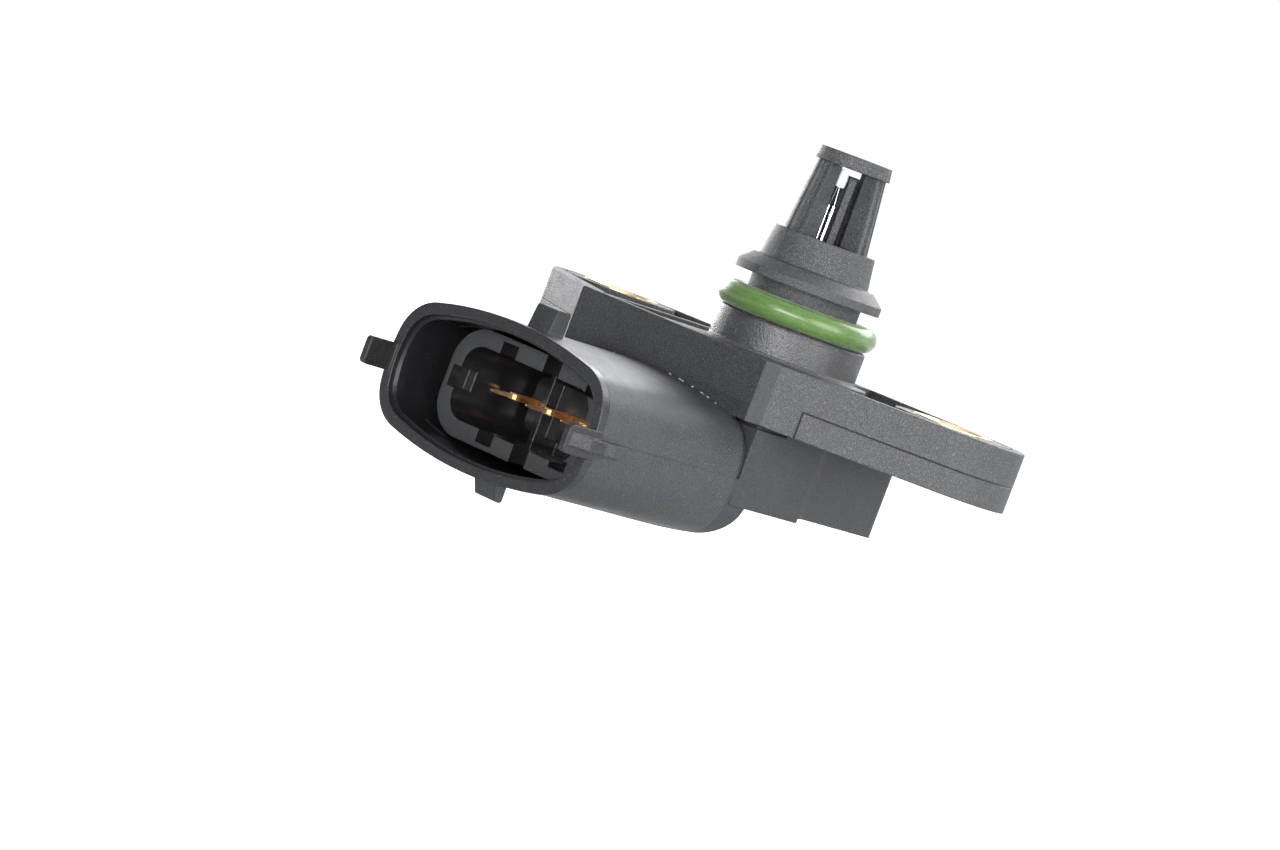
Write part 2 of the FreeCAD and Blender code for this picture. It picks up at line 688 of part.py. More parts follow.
gel = Part.makeCylinder(bore_radius, gel_top - board_top, V(bore_x, bore_y, board_top))
gel = gel.cut([glass, die])
board_middle_x = board_right - board_length_x / 2
board_middle_y = board_front + board_length_y / 2
chip = block(board_middle_x - chip_size / 2, board_middle_x + chip_size / 2,
             board_middle_y - chip_size / 2, board_middle_y + chip_size / 2,
             board_bottom - chip_height, board_bottom)


def capacitor_shape(x, y):
    return block(x - capacitor_length / 2, x + capacitor_length / 2, y - capacitor_width / 2,
                 y + capacitor_width / 2, board_bottom - capacitor_height, board_bottom)


capacitors = [capacitor_shape(board_middle_x + (i - 1) * 2 * capacitor_length,
                              board_middle_y + chip_size / 2 + 2 * capacitor_width) for i in range(3)]


# Bond wires: one arc from each tab to the board
def bond_shape(x):
    start = V(x, tab_end_y - 0.6, tab_top - pin_thickness)
    end = V(x, board_front + bond_reach * 0.5, board_bottom)
    middle = V(x, (start.y + end.y) / 2, min(start.z, end.z) - bond_sag)
    path = Part.Arc(start, middle, end).toShape()
    tangent = path.tangentAt(path.FirstParameter)
    ring = Part.Wire(Part.makeCircle(bond_radius, start, tangent))
    wire = Part.Wire(path).makePipeShell([ring], True, False)
    return wire.cut([board] + terminals)


os.makedirs("parts", exist_ok=True)
pieces = {
    "housing": housing,
    "o_ring": o_ring,
    "bush_left": bush_shape(ear_x[0]),
    "bush_right": bush_shape(ear_x[1]),
    "thermistor_bead": bead,
    "cover": cover,
    "cover_sealant": sealant,
    "ceramic_board": board,
    "port_glue_ring": glue_ring,
    "glass_pedestal": glass,
    "pressure_die": die,
    "protective_gel": gel,
    "signal_chip": chip,
}
for number, shape in enumerate(terminals, 1):
    pieces["terminal_%d" % number] = shape
for number, (post, wire) in enumerate(zip(posts, wires), 1):
    pieces["thermistor_post_%d" % number] = post
    pieces["thermistor_wire_%d" % number] = wire
for number, shape in enumerate(capacitors, 1):
    pieces["capacitor_%d" % number] = shape
for number, x in enumerate(pin_places, 1):
    pieces["bond_wire_%d" % number] = bond_shape(x)
for name, shape in pieces.items():
    solid = save(name, shape)
    print("%-20s %-9s solids %d  faces %3d  volume %9.3f  %s" % (
        name, solid.ShapeType, len(solid.Solids), len(solid.Faces), solid.Volume, solid.isValid()))
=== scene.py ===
import math
import random

import bpy
from mathutils import Matrix, Vector


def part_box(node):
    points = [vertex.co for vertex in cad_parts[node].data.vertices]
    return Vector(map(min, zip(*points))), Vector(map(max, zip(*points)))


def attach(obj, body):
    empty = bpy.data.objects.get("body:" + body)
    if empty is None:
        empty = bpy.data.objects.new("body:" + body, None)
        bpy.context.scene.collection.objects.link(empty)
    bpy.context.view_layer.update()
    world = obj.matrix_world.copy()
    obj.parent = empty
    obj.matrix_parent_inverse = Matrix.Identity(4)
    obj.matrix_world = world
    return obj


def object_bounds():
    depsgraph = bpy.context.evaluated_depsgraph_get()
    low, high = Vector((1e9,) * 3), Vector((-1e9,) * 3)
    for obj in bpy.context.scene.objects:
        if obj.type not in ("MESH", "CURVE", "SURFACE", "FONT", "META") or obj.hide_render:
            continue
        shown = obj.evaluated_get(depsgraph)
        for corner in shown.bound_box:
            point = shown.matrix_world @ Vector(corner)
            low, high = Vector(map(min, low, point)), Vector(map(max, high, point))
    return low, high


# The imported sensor. Nothing on it moves, so every node rides on the one body, root.
# Sizes below are in millimetres and are turned into metres where they are used.
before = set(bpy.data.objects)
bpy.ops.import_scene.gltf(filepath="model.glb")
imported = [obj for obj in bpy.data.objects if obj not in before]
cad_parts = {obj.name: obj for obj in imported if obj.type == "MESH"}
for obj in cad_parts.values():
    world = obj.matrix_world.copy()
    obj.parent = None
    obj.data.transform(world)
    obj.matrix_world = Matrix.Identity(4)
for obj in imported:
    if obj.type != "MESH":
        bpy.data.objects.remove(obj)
cad_low, cad_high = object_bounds()
MM = 0.001
scene = bpy.context.scene
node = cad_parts


# Camera. It looks down a little from in front of the right-hand ear, and it is rolled, because
# the sensor lies tilted in the picture. Its place and lens were solved from the photograph.
camera_place = Vector((292.838, -373.633, 17.911))
camera_look = Vector((-0.63391, 0.770976, -0.061268)).normalized()
camera_roll = math.radians(20.627)
camera_film_width = 36.0
camera_lens = 130.85

camera = bpy.data.cameras.new("camera")
camera.sensor_fit = "HORIZONTAL"
camera.sensor_width = camera_film_width
camera.lens = camera_lens
camera.clip_start = 0.01
camera.clip_end = 20.0
level_right = camera_look.cross(Vector((0, 0, 1))).normalized()
level_up = level_right.cross(camera_look)
rolled_right = level_right * math.cos(camera_roll) + level_up * math.sin(camera_roll)
rolled_up = level_up * math.cos(camera_roll) - level_right * math.sin(camera_roll)
camera_object = bpy.data.objects.new("camera", camera)
scene.collection.objects.link(camera_object)
camera_object.matrix_world = Matrix.Translation(camera_place * MM) @ Matrix(
    (rolled_right, rolled_up, -camera_look)).transposed().to_4x4()
scene.camera = camera_object


# Studio. A pale floor runs out into a white room, which gives less light from the camera's side.
# The strong soft boxes are one on the right, one in front, a narrow strip beside it, one high up
# behind and one behind the left ear. A faint one hangs overhead, and one stands behind on the right.
room_seen_strength = 1.05
room_tint = (0.96, 0.98, 1.0, 1)
room_bright_way = (0.35, 0.90, 0.25)
room_least = 0.16
room_most = 0.8
floor_drop = 9.0
floor_reach = 6000.0
floor_grey = (0.45, 0.455, 0.47, 1)
floor_glow_unseen = 0.10
floor_glow_seen = 0.84
white = (1, 1, 1, 1)
soft_box_aim = Vector((-6, -6, 0))


def new_material(name):
    material = bpy.data.materials.new(name)
    material.use_nodes = True
    tree = material.node_tree
    return material, tree, tree.nodes["Principled BSDF"]


def vector_node(tree, operation, first, second=None):
    made = tree.nodes.new("ShaderNodeVectorMath")
    made.operation = operation
    for slot, value in zip(made.inputs, (first, second)):
        if value is None:
            continue
        if isinstance(value, (tuple, Vector)):
            slot.default_value = value
        else:
            tree.links.new(value, slot)
    return made.outputs["Value"] if operation in ("LENGTH", "DOT_PRODUCT") else made.outputs["Vector"]


def ramp(tree, value, low, high, to_low=0.0, to_high=1.0, smooth=True):
    """Maps a value from one range to another, held at both ends."""
    made = tree.nodes.new("ShaderNodeMapRange")
    made.interpolation_type = "SMOOTHSTEP" if smooth else "LINEAR"
    made.inputs["From Min"].default_value = low
    made.inputs["From Max"].default_value = high
    made.inputs["To Min"].default_value = to_low
    made.inputs["To Max"].default_value = to_high
    tree.links.new(value, made.inputs["Value"])
    return made.outputs["Result"]


def soft_box(name, place, size, radiance):
    """Area light of a given width and height, aimed at the middle of the sensor."""
    light = bpy.data.lights.new(name, "AREA")
    light.shape = "RECTANGLE"
    light.size = size[0] * MM
    light.size_y = size[1] * MM
    light.energy = radiance * math.pi * light.size * light.size_y
    box = bpy.data.objects.new(name, light)
    scene.collection.objects.link(box)
    box.location = Vector(place) * MM
    toward = (soft_box_aim - Vector(place)).normalized()
    box.rotation_euler = toward.to_track_quat("-Z", "Y").to_euler()


scene.view_settings.view_transform = "Standard"
world = bpy.data.worlds.new("white_room")
scene.world = world
world.use_nodes = True
tree = world.node_tree
tree.nodes.clear()
room_seen = tree.nodes.new("ShaderNodeBackground")
room_seen.inputs["Color"].default_value = white
room_seen.inputs["Strength"].default_value = room_seen_strength
room_light = tree.nodes.new("ShaderNodeBackground")
room_light.inputs["Color"].default_value = room_tint
way_out = tree.nodes.new("ShaderNodeTexCoord").outputs["Generated"]
away = vector_node(tree, "DOT_PRODUCT", way_out, room_bright_way)
tree.links.new(ramp(tree, away, -0.55, 0.45, room_least, room_most), room_light.inputs["Strength"])
room_path = tree.nodes.new("ShaderNodeLightPath")
room_mix = tree.nodes.new("ShaderNodeMixShader")
room_out = tree.nodes.new("ShaderNodeOutputWorld")
tree.links.new(room_path.outputs["Is Camera Ray"], room_mix.inputs["Fac"])
tree.links.new(room_light.outputs[0], room_mix.inputs[1])
tree.links.new(room_seen.outputs[0], room_mix.inputs[2])
tree.links.new(room_mix.outputs[0], room_out.inputs["Surface"])

bpy.ops.object.select_all(action="DESELECT")
bpy.ops.mesh.primitive_plane_add(size=floor_reach * MM, location=(0, 0, cad_low.z - floor_drop * MM))
floor = bpy.context.object
floor.name = "floor"
floor_paint, tree, shader = new_material("floor_paint")
shader.inputs["Base Color"].default_value = floor_grey
shader.inputs["Roughness"].default_value = 0.9
shader.inputs["Specular IOR Level"].default_value = 0.2
shader.inputs["Emission Color"].default_value = white
floor_seen = tree.nodes.new("ShaderNodeLightPath").outputs["Is Camera Ray"]
tree.links.new(ramp(tree, floor_seen, 0.0, 1.0, floor_glow_unseen, floor_glow_seen, False),
               shader.inputs["Emission Strength"])
floor.data.materials.append(floor_paint)

soft_box("box_right", (430, -60, 100), (360, 340), 6.0)
soft_box("box_front", (225, -383, -10), (250, 250), 14.5)
soft_box("box_strip", (95, -440, 30), (80, 260), 15.0)
soft_box("box_above", (-60, 330, 290), (460, 340), 5.6)
soft_box("box_over", (-40, 20, 430), (300, 300), 0.8)
soft_box("box_back_right", (230, 400, 0), (300, 200), 1.0)
soft_box("box_back_left", (-420, 180, 40), (330, 260), 6.5)


# Moulded housing: black glass-filled plastic, moulded in one piece. The mould is spark-eroded, so
# the flange, the port and the inner collar carry a sparkling grain, while the box and the shroud
# are satin. The mould's parting line runs round the flange and jogs down to its lower edge.
beyond = 60.0
flange_front = -10.6
flange_under = -6.46
front_corner = 6.62
port_reach = 9.0
shroud_middle_x = -6.8
shroud_axis_z = -12.6
shroud_half_width = 13.1
shroud_half_height = 6.48
shroud_squareness = 3.5
seam_height = -3.65
seam_half = 0.04
seam_right = 9.86
seam_left = -22.7
jog_right = (9.86, 9.95)
jog_left = (-22.75, -22.66)
jog_front = -8.0
jog_back = -4.0
zone_softness = 0.12
edge_rounding = 0.24
grain_depth = 0.11
plastic_dark = (0.0145, 0.0150, 0.0178)
plastic_light = (0.0200, 0.0207, 0.0235)
flange_black = (0.028, 0.0285, 0.030)
# Darker colour for the front face: painted shade, since that side faces away from the light
front_painted_shade = (0.008, 0.0084, 0.0095)
# Darker colour for the shroud's mouth rim and its inside: painted shade on the dark front and in the hollow
shroud_painted_shade = (0.009, 0.009, 0.010)
# Darkest colour for the inner collar inside the shroud: painted shade deep in the hollow
collar_painted_shade = (0.007, 0.007, 0.008)
painted_glint_grey = (0.125, 0.128, 0.133)
seam_painted_shade = (0.002, 0.002, 0.002)


def wear(name, material):
    """Gives a CAD node its material."""
    slots = node[name].data.materials
    slots.clear()
    slots.append(material)


def math_node(tree, operation, first, second=None):
    made = tree.nodes.new("ShaderNodeMath")
    made.operation = operation
    for slot, value in zip(made.inputs, (first, second)):
        if value is None:
            continue
        if isinstance(value, (int, float)):
            slot.default_value = value
        else:
            tree.links.new(value, slot)
    return made.outputs[0]


def noise(tree, place, scale, detail=2.0, rough=0.5):
    """Noise whose features are about 1/scale of a millimetre apart."""
    made = tree.nodes.new("ShaderNodeTexNoise")
    made.inputs["Scale"].default_value = scale / MM
    made.inputs["Detail"].default_value = detail
    made.inputs["Roughness"].default_value = rough
    tree.links.new(place, made.inputs["Vector"])
    return made.outputs["Fac"]


def blend_value(tree, base, over, mask):
    made = tree.nodes.new("ShaderNodeMix")
    for slot, value in ((made.inputs["A"], base), (made.inputs["B"], over), (made.inputs["Factor"], mask)):
        if isinstance(value, (int, float)):
            slot.default_value = value
        else:
            tree.links.new(value, slot)
    return made.outputs["Result"]


def blend_colour(tree, base, over, mask):
    made = tree.nodes.new("ShaderNodeMix")
    made.data_type = "RGBA"
    for slot, value in ((made.inputs[6], base), (made.inputs[7], over)):
        if isinstance(value, tuple):
            slot.default_value = (*value, 1)
        else:
            tree.links.new(value, slot)
    tree.links.new(mask, made.inputs["Factor"])
    return made.outputs[2]


def bump(tree, shader, height, depth, strength, under=None):
    """Bump with its depth in millimetres, over a rounded-edge normal if one is given."""
    made = tree.nodes.new("ShaderNodeBump")
    made.inputs["Strength"].default_value = strength
    made.inputs["Distance"].default_value = depth * MM
    tree.links.new(height, made.inputs["Height"])
    if under is not None:
        tree.links.new(under, made.inputs["Normal"])
    tree.links.new(made.outputs["Normal"], shader.inputs["Normal"])


def object_place(tree):
    return tree.nodes.new("ShaderNodeTexCoord").outputs["Object"]


# The mask of one box in the sensor's frame, with a soft edge, used to finish zones of the moulding
zone_group = bpy.data.node_groups.new("zone", "ShaderNodeTree")
for socket_name in ("Low", "High"):
    zone_group.interface.new_socket(name=socket_name, in_out="INPUT", socket_type="NodeSocketVector")
zone_group.interface.new_socket(name="Mask", in_out="OUTPUT", socket_type="NodeSocketFloat")
zone_in = zone_group.nodes.new("NodeGroupInput")
zone_out = zone_group.nodes.new("NodeGroupOutput")
zone_place = object_place(zone_group)
zone_slope = (1 / (zone_softness * MM),) * 3
zone_sides = []
for first, second in ((zone_place, zone_in.outputs["Low"]), (zone_in.outputs["High"], zone_place)):
    side = vector_node(zone_group, "MULTIPLY", vector_node(zone_group, "SUBTRACT", first, second), zone_slope)
    side = vector_node(zone_group, "ADD", side, (0.5, 0.5, 0.5))
    side = vector_node(zone_group, "MINIMUM", side, (1, 1, 1))
    zone_sides.append(vector_node(zone_group, "MAXIMUM", side, (0, 0, 0)))
zone_split = zone_group.nodes.new("ShaderNodeSeparateXYZ")
zone_group.links.new(vector_node(zone_group, "MULTIPLY", *zone_sides), zone_split.inputs[0])
zone_mask = math_node(zone_group, "MULTIPLY", zone_split.outputs[0], zone_split.outputs[1])
zone_mask = math_node(zone_group, "MULTIPLY", zone_mask, zone_split.outputs[2])
zone_group.links.new(zone_mask, zone_out.inputs["Mask"])


def zone(tree, low, high):
    made = tree.nodes.new("ShaderNodeGroup")
    made.node_tree = zone_group
    made.inputs["Low"].default_value = Vector(low) * MM
    made.inputs["High"].default_value = Vector(high) * MM
    return made.outputs["Mask"]


def shroud_hollow(tree):
    """Inside of the shroud: a squared oval round its axis."""
    axis = Vector((shroud_middle_x, 0, shroud_axis_z)) * MM
    from_axis = vector_node(tree, "SUBTRACT", object_place(tree), axis)
    shares = vector_node(tree, "MULTIPLY", from_axis,
                         (1 / (shroud_half_width * MM), 0, 1 / (shroud_half_height * MM)))
    split = tree.nodes.new("ShaderNodeSeparateXYZ")
    tree.links.new(vector_node(tree, "ABSOLUTE", shares), split.inputs[0])
    total = math_node(tree, "ADD", math_node(tree, "POWER", split.outputs[0], shroud_squareness),
                      math_node(tree, "POWER", split.outputs[2], shroud_squareness))
    return ramp(tree, total, 1.10, 1.24, 1.0, 0.0)


# Eroded grain: a fine height field, and a mask of pale glass fibres whose sparkle is painted as a glint
grain_group = bpy.data.node_groups.new("eroded_grain", "ShaderNodeTree")
for socket_name in ("Height", "Glint", "Cloud"):
    grain_group.interface.new_socket(name=socket_name, in_out="OUTPUT", socket_type="NodeSocketFloat")
grain_out = grain_group.nodes.new("NodeGroupOutput")
grain_place = object_place(grain_group)
grain_fine = noise(grain_group, grain_place, 7.5, 2.0, 0.6)
grain_coarse = noise(grain_group, grain_place, 3.2, 1.0, 0.5)
grain_half = math_node(grain_group, "MULTIPLY", grain_coarse, 0.5)
grain_height = math_node(grain_group, "ADD", grain_fine, grain_half)
grain_group.links.new(grain_height, grain_out.inputs["Height"])
grain_specks = ramp(grain_group, noise(grain_group, grain_place, 12.0, 1.0, 0.5), 0.42, 0.72, 0.0, 0.8)
grain_fibres = ramp(grain_group, noise(grain_group, grain_place, 5.0, 0.0, 0.5), 0.74, 0.84)
grain_group.links.new(math_node(grain_group, "ADD", grain_specks, grain_fibres), grain_out.inputs["Glint"])
grain_group.links.new(noise(grain_group, grain_place, 0.35, 3.0, 0.55), grain_out.inputs["Cloud"])


def grain(tree):
    made = tree.nodes.new("ShaderNodeGroup")
    made.node_tree = grain_group
    return made.outputs["Height"], made.outputs["Glint"], made.outputs["Cloud"]


plastic, tree, shader = new_material("housing_plastic")
height, glint, cloud = grain(tree)
flange_zone = zone(tree, (-beyond, flange_front, flange_under), (beyond, beyond, 3))
front_zone = zone(tree, (-beyond, -10.7, flange_under), (front_corner, -10.2, 0))
chamfer_zone = zone(tree, (front_corner, flange_front, flange_under), (7.1, -8.3, -0.2))
port_zone = zone(tree, (-port_reach, -port_reach, 3.7), (port_reach, port_reach, 30))
base_zone = zone(tree, (-port_reach, -port_reach, 0.4), (port_reach, port_reach, 3.66))
shroud_zone = zone(tree, (-40, -beyond, -40), (40, -9.62, -4.6))
rim_zone = zone(tree, (-beyond, -beyond, -40), (beyond, -31.4, 0))
inside_zone = zone(tree, (-40, -32.42, -40), (40, -14, 40))
inside_zone = math_node(tree, "MULTIPLY", inside_zone, shroud_hollow(tree))
collar_zone = zone(tree, (-17.4, -28.4, -18.3), (3.7, -27.95, -6.6))

# How each zone is finished, over the one before it: its mask, grain, roughness and colour
finishes = (
    (flange_zone, 1.0, 0.50, flange_black),
    # The front face is darkened: painted shade for the side that faces away from the light
    (front_zone, 0.7, None, front_painted_shade),
    (chamfer_zone, 0.45, None, None),
    (port_zone, 1.1, None, None),
    (base_zone, 0.5, 0.23, None),
    (shroud_zone, 0.6, 0.39, None),
    # The mouth rim and the inside of the shroud are darkened: painted shade on the rim and in the hollow
    (rim_zone, 0.28, 0.27, shroud_painted_shade),
    (inside_zone, 0.10, 0.20, shroud_painted_shade),
    # The inner collar inside the shroud is darkened most: painted shade deep in the hollow
    (collar_zone, 0.9, 0.5, collar_painted_shade),
)
grain_amount = 0.30
roughness = 0.48
colour = blend_colour(tree, plastic_dark, plastic_light, ramp(tree, cloud, 0.35, 0.65))
for mask, zone_grain, zone_roughness, zone_colour in finishes:
    grain_amount = blend_value(tree, grain_amount, zone_grain, mask)
    if zone_roughness is not None:
        roughness = blend_value(tree, roughness, zone_roughness, mask)
    if zone_colour is not None:
        colour = blend_colour(tree, colour, zone_colour, mask)
roughness = math_node(tree, "ADD", roughness, ramp(tree, cloud, 0.3, 0.7, -0.05, 0.05, False))
tree.links.new(roughness, shader.inputs["Roughness"])
# Pale glass fibres painted brighter into the colour: part real fleck, part painted glint of their sparkle
colour = blend_colour(tree, colour, painted_glint_grey, math_node(tree, "MULTIPLY", glint, grain_amount))

seam_low = seam_height - seam_half
seam_high = seam_height + seam_half
seam = zone(tree, (seam_right, -beyond, seam_low), (beyond, beyond, seam_high))
for low, high in (((-beyond, -beyond, seam_low), (seam_left, beyond, seam_high)),
                  ((jog_right[0], jog_front, flange_under), (jog_right[1], jog_back, seam_height)),
                  ((jog_left[0], jog_front, flange_under), (jog_left[1], jog_back, seam_height))):
    seam = math_node(tree, "MAXIMUM", seam, zone(tree, low, high))
# The parting line is painted near black: painted shade of its small step; the groove itself is pressed in by
# the bump
colour = blend_colour(tree, colour, seam_painted_shade, math_node(tree, "MULTIPLY", seam, 1.2))
tree.links.new(colour, shader.inputs["Base Color"])
edge = tree.nodes.new("ShaderNodeBevel")
edge.samples = 4
edge.inputs["Radius"].default_value = edge_rounding * MM
relief = math_node(tree, "MULTIPLY", height, grain_amount)
relief = math_node(tree, "SUBTRACT", relief, math_node(tree, "MULTIPLY", seam, 1.6))
bump(tree, shader, relief, grain_depth, 0.95, edge.outputs["Normal"])
wear("housing", plastic)


# Mould flash: thin torn scraps of the housing's own plastic, paler where they were stretched.
# The mould leaves them where the shroud's core meets the flange, and under the shroud on the
# joint of its two halves. Each scrap is given by its place and its length.
flash_dark = (0.16, 0.16, 0.165)
flash_light = (0.50, 0.505, 0.51)
flange_flakes = ((-15.2, 0.25), (-13.9, 0.18), (-12.1, 0.22), (-4.2, 0.5), (-2.8, 0.3),
                 (-2.4, 0.55), (-0.9, 0.2), (0.5, 0.6), (1.4, 0.65), (2.6, 0.25))
flange_flake_y = -10.75
flange_flake_thickness = 0.26
above_flange = 4.0
shroud_flakes = ((-4.6, -28.5, 1.1), (-4.4, -27.2, 0.35), (-4.1, -19.6, 0.7),
                 (-3.9, -17.8, 0.4), (-4.0, -15.2, 0.8), (-4.2, -12.9, 0.3))
shroud_flake_thickness = 0.2
flake_flatness = 0.8

flash, tree, shader = new_material("mould_flash")
height, glint, _ = grain(tree)
tree.links.new(blend_colour(tree, flash_dark, flash_light, ramp(tree, height, 0.6, 1.0)),
               shader.inputs["Base Color"])
tree.links.new(ramp(tree, glint, 0.0, 1.0, 0.5, 0.35), shader.inputs["Roughness"])
bump(tree, shader, height, 0.03, 0.7)


def flake(place, toward, length, thickness, turn):
    """One torn scrap of flash, set on the first plastic that is met from a place."""
    hit, spot, normal, _ = node["housing"].ray_cast(Vector(place) * MM, Vector(toward))
    if not hit:
        raise SystemExit(f"no plastic under the flake at {place}")
    bpy.ops.object.select_all(action="DESELECT")
    bpy.ops.mesh.primitive_ico_sphere_add(subdivisions=2, radius=0.5 * MM)
    made = bpy.context.object
    bpy.ops.object.mode_set(mode="EDIT")
    bpy.ops.transform.resize(value=(length, thickness, thickness * flake_flatness))
    bpy.ops.object.mode_set(mode="OBJECT")
    for vertex in made.data.vertices:
        vertex.co *= random.uniform(0.75, 1.2)
    lay = normal.to_track_quat("Z", "X").to_matrix().to_4x4()
    made.data.transform(Matrix.Translation(spot) @ lay @ Matrix.Rotation(math.radians(turn), 4, "Z"))
    made.data.materials.append(flash)
    return made


random.seed(7)
flakes = []
for x, length in flange_flakes:
    turn = random.uniform(-25, 25)
    flakes.append(flake((x, flange_flake_y, above_flange), (0, 0, -1), length, flange_flake_thickness, turn))
for x, y, length in shroud_flakes:
    turn = 90 + random.uniform(-12, 12)
    flakes.append(flake((x, y, -beyond), (0, 0, 1), length, shroud_flake_thickness, turn))
bpy.ops.object.select_all(action="DESELECT")
for made in flakes:
    made.select_set(True)
bpy.context.view_layer.objects.active = flakes[0]
bpy.ops.object.join()
scraps = bpy.context.object
scraps.name = "mould_flash"
bpy.ops.object.shade_flat()
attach(scraps, "root")


# O-ring: green fluoro rubber, moulded smooth and stretched into the groove of the port.
# Its green clouds a little round the ring, and a pale bloom and fine specks lie on it.
ring_green = (0.066, 0.132, 0.032)
ring_light_green = (0.080, 0.152, 0.040)
ring_speck = (0.30, 0.40, 0.25)
ring_bloom = (0.92, 1.0, 0.88, 1)


def stretched(tree, scale):
    """Places scaled by axis, so that a pattern on them draws out along one."""
    made = tree.nodes.new("ShaderNodeMapping")
    made.inputs["Scale"].default_value = scale
    tree.links.new(object_place(tree), made.inputs["Vector"])
    return made.outputs["Vector"]


rubber, tree, shader = new_material("green_rubber")
streak = noise(tree, stretched(tree, (0.35, 0.35, 3.0)), 1.6, 3.0, 0.6)
speck = noise(tree, object_place(tree), 5.0, 2.0, 0.6)
colour = blend_colour(tree, ring_green, ring_light_green, ramp(tree, streak, 0.35, 0.65))
colour = blend_colour(tree, colour, ring_speck, ramp(tree, speck, 0.60, 0.78, 0.0, 0.55))
tree.links.new(colour, shader.inputs["Base Color"])
tree.links.new(ramp(tree, streak, 0.3, 0.7, 0.24, 0.30), shader.inputs["Roughness"])
shader.inputs["Sheen Weight"].default_value = 0.18
shader.inputs["Sheen Roughness"].default_value = 0.45
shader.inputs["Sheen Tint"].default_value = ring_bloom
bump(tree, shader, speck, 0.010, 0.5)
wear("o_ring", rubber)


# Compression bushes: turned brass tubes, pressed into the ears, which carry the load of the
# screws. Fine turning rings run round each bush's own axis, and the brass has dulled in places.
brass_bright = (0.82, 0.64, 0.37)
brass_dull = (0.60, 0.42, 0.20)


def from_bush_axis(tree, place, name):
    low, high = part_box(name)
    aside = vector_node(tree, "SUBTRACT", place, (low + high) / 2)
    return vector_node(tree, "LENGTH", vector_node(tree, "MULTIPLY", aside, (1, 1, 0)))


brass, tree, shader = new_material("bush_brass")
place = object_place(tree)
reach = math_node(tree, "MINIMUM", from_bush_axis(tree, place, "bush_left"),
                  from_bush_axis(tree, place, "bush_right"))
turned = tree.nodes.new("ShaderNodeCombineXYZ")
tree.links.new(reach, turned.inputs[0])
rings = noise(tree, turned.outputs[0], 9.0, 3.0, 0.7)
tarnish = noise(tree, place, 0.6, 3.0, 0.6)
tree.links.new(blend_colour(tree, brass_bright, brass_dull, ramp(tree, tarnish, 0.5, 0.75)),
               shader.inputs["Base Color"])
shader.inputs["Metallic"].default_value = 1.0
tree.links.new(ramp(tree, tarnish, 0.3, 0.7, 0.24, 0.38), shader.inputs["Roughness"])
bump(tree, shader, rings, 0.02, 0.7)
wear("bush_left", brass)
wear("bush_right", brass)


# Terminals: four cranked blades, stamped from copper alloy and held in slots of the housing.
# The metal is drawn along their length, and their coined noses are brighter.
copper_deep = (0.80, 0.30, 0.08)
copper_light = (0.93, 0.40, 0.13)
nose_bright = (0.98, 0.66, 0.36)
nose_front = -24.2
nose_back = -20.0
terminal_count = 4

copper, tree, shader = new_material("terminal_metal")
drawn = noise(tree, stretched(tree, (3.0, 0.25, 3.0)), 2.5, 2.0, 0.6)
nose_zone = zone(tree, (-beyond, nose_front, -20), (beyond, nose_back, -5))
colour = blend_colour(tree, copper_deep, copper_light, ramp(tree, drawn, 0.35, 0.65))
colour = blend_colour(tree, colour, nose_bright, nose_zone)
tree.links.new(colour, shader.inputs["Base Color"])
shader.inputs["Metallic"].default_value = 1.0
tree.links.new(ramp(tree, drawn, 0.3, 0.7, 0.22, 0.4), shader.inputs["Roughness"])
# A faint glow in the metal's own colour: painted light that brightens the blades deep in the shroud
tree.links.new(colour, shader.inputs["Emission Color"])
shader.inputs["Emission Strength"].default_value = 0.07
bump(tree, shader, drawn, 0.02, 0.6)
for number in range(1, terminal_count + 1):
    wear(f"terminal_{number}", copper)


# Thermistor: a white glazed bead on two fine wires, welded to two tinned posts.
# The posts stand in the floor of the cage and pass down through the circuit board.
glaze_white = (0.93, 0.95, 0.97)
glaze_blue = (0.80, 0.87, 0.93)
bead_painted_glow = (0.9, 0.95, 1.0, 1)
tin_bright = (0.86, 0.87, 0.9)
tin_grey = (0.68, 0.7, 0.75)

glaze, tree, shader = new_material("bead_coating")
mottle = noise(tree, object_place(tree), 1.2, 2.0, 0.5)
tree.links.new(blend_colour(tree, glaze_white, glaze_blue, ramp(tree, mottle, 0.4, 0.7)),
               shader.inputs["Base Color"])
tree.links.new(ramp(tree, mottle, 0.3, 0.7, 0.08, 0.18), shader.inputs["Roughness"])
# A faint glow: painted light that brightens the bead
shader.inputs["Emission Color"].default_value = bead_painted_glow
shader.inputs["Emission Strength"].default_value = 0.05
wear("thermistor_bead", glaze)

tinned, tree, shader = new_material("tinned_wire")
dip = noise(tree, stretched(tree, (3.0, 3.0, 0.3)), 1.5, 2.0, 0.5)
tree.links.new(blend_colour(tree, tin_bright, tin_grey, ramp(tree, dip, 0.4, 0.7)),
               shader.inputs["Base Color"])
shader.inputs["Metallic"].default_value = 1.0
tree.links.new(ramp(tree, dip, 0.3, 0.7, 0.12, 0.26), shader.inputs["Roughness"])
for name in ("thermistor_post_1", "thermistor_post_2", "thermistor_wire_1", "thermistor_wire_2"):
    wear(name, tinned)


# Cover: a moulded lid of the same plastic as the housing, with a finer grain.
# It is let into the underside of the electronics box and bedded in sealant.
lid_dark = (0.022, 0.023, 0.025)
lid_light = (0.034, 0.035, 0.038)
lid_painted_glint = (0.14, 0.145, 0.15)

lid, tree, shader = new_material("cover_plastic")
height, glint, cloud = grain(tree)
colour = blend_colour(tree, lid_dark, lid_light, ramp(tree, cloud, 0.35, 0.65))
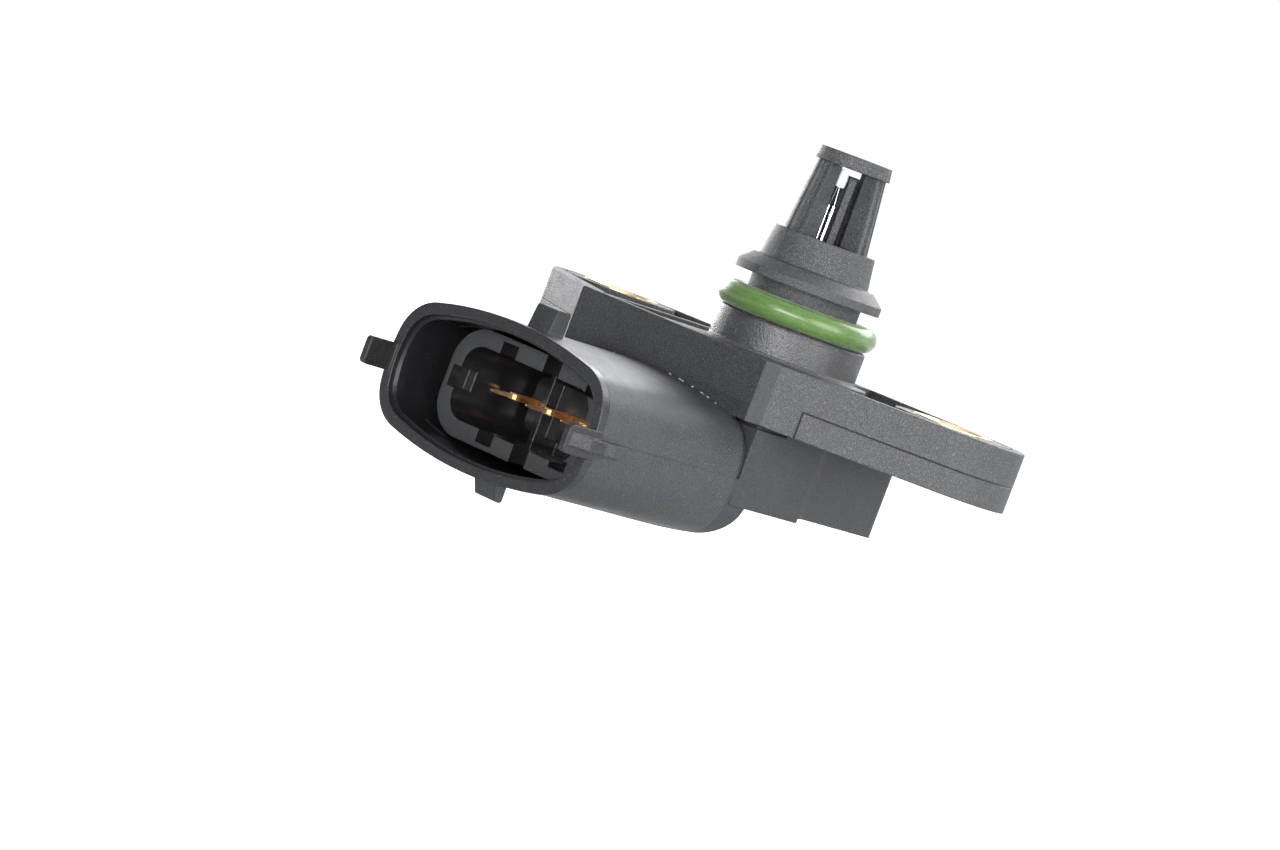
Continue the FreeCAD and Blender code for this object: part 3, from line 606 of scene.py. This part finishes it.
# Pale glass fibres painted brighter into the colour: part real fleck, part painted glint of their sparkle
tree.links.new(blend_colour(tree, colour, lid_painted_glint, math_node(tree, "MULTIPLY", glint, 0.5)),
               shader.inputs["Base Color"])
tree.links.new(ramp(tree, cloud, 0.3, 0.7, 0.46, 0.58), shader.inputs["Roughness"])
bump(tree, shader, height, 0.03, 0.6)
wear("cover", lid)


# Sealant: dark silicone, laid wet and cured. A bead of it fills the joint round the cover,
# and a ring of it glues the circuit board down round the pressure bore.
sealant_dark = (0.045, 0.045, 0.05)
sealant_light = (0.085, 0.085, 0.09)

silicone, tree, shader = new_material("sealant")
lumps = noise(tree, object_place(tree), 1.1, 3.0, 0.6)
tree.links.new(blend_colour(tree, sealant_dark, sealant_light, ramp(tree, lumps, 0.4, 0.65)),
               shader.inputs["Base Color"])
tree.links.new(ramp(tree, lumps, 0.3, 0.7, 0.28, 0.42), shader.inputs["Roughness"])
bump(tree, shader, lumps, 0.08, 0.6)
wear("cover_sealant", silicone)
wear("port_glue_ring", silicone)


# Sensing circuit: a fired ceramic board with printed tracks. It carries the pressure die on a
# glass pedestal under soft gel, the signal chip and the capacitors, all glued or soldered down,
# and fine aluminium wires bond it to the terminals.
track_spacing = 2.4
track_width = 0.06
ceramic_light = (0.82, 0.80, 0.74, 1)
ceramic_dark = (0.74, 0.73, 0.68, 1)
track_grey = (0.35, 0.34, 0.33, 1)
ceramic_white = (0.9, 0.89, 0.85)
glass_tones = ((0.80, 0.86, 0.88), (0.90, 0.94, 0.95))
silicon_tones = ((0.34, 0.34, 0.38), (0.46, 0.46, 0.50))
gel_tones = ((0.70, 0.73, 0.75), (0.82, 0.85, 0.86))
chip_tones = ((0.030, 0.030, 0.033), (0.055, 0.055, 0.060))
capacitor_tones = ((0.42, 0.31, 0.20), (0.56, 0.43, 0.30))
aluminium_tones = ((0.74, 0.75, 0.77), (0.88, 0.89, 0.90))

ceramic, tree, shader = new_material("board_ceramic")
place = object_place(tree)
fired = noise(tree, place, 2.0, 3.0, 0.6)
tracks = tree.nodes.new("ShaderNodeTexBrick")
tracks.inputs["Scale"].default_value = 1 / (track_spacing * MM)
tracks.inputs["Mortar Size"].default_value = track_width
tracks.inputs["Color1"].default_value = ceramic_light
tracks.inputs["Color2"].default_value = ceramic_dark
tracks.inputs["Mortar"].default_value = track_grey
tree.links.new(place, tracks.inputs["Vector"])
tree.links.new(blend_colour(tree, tracks.outputs["Color"], ceramic_white, ramp(tree, fired, 0.3, 0.7)),
               shader.inputs["Base Color"])
tree.links.new(ramp(tree, fired, 0.3, 0.7, 0.4, 0.6), shader.inputs["Roughness"])
bump(tree, shader, fired, 0.01, 0.5)
wear("ceramic_board", ceramic)


def plain_part(name, names, tones, scale, roughness, depth, metallic=0.0):
    """A small part's finish: two close colours in a fine pattern, and a slight relief."""
    made, tree, shader = new_material(name)
    pattern = noise(tree, object_place(tree), scale, 3.0, 0.6)
    tree.links.new(blend_colour(tree, *tones, ramp(tree, pattern, 0.35, 0.65)), shader.inputs["Base Color"])
    tree.links.new(ramp(tree, pattern, 0.3, 0.7, *roughness), shader.inputs["Roughness"])
    shader.inputs["Metallic"].default_value = metallic
    bump(tree, shader, pattern, depth, 0.5)
    for node_name in names:
        wear(node_name, made)
    return shader


glass = plain_part("clear_glass", ["glass_pedestal"], glass_tones, 3.0, (0.04, 0.10), 0.004)
glass.inputs["Transmission Weight"].default_value = 0.6
glass.inputs["IOR"].default_value = 1.48
plain_part("silicon", ["pressure_die"], silicon_tones, 4.0, (0.10, 0.18), 0.004, 1.0)
gel = plain_part("gel", ["protective_gel"], gel_tones, 0.8, (0.08, 0.16), 0.02)
gel.inputs["Transmission Weight"].default_value = 0.5
gel.inputs["IOR"].default_value = 1.41
plain_part("chip_plastic", ["signal_chip"], chip_tones, 6.0, (0.5, 0.65), 0.01)
plain_part("capacitor_body", ["capacitor_1", "capacitor_2", "capacitor_3"], capacitor_tones,
           3.0, (0.45, 0.6), 0.01)
plain_part("bond_aluminium", ["bond_wire_1", "bond_wire_2", "bond_wire_3", "bond_wire_4"],
           aluminium_tones, 5.0, (0.2, 0.34), 0.004, 1.0)
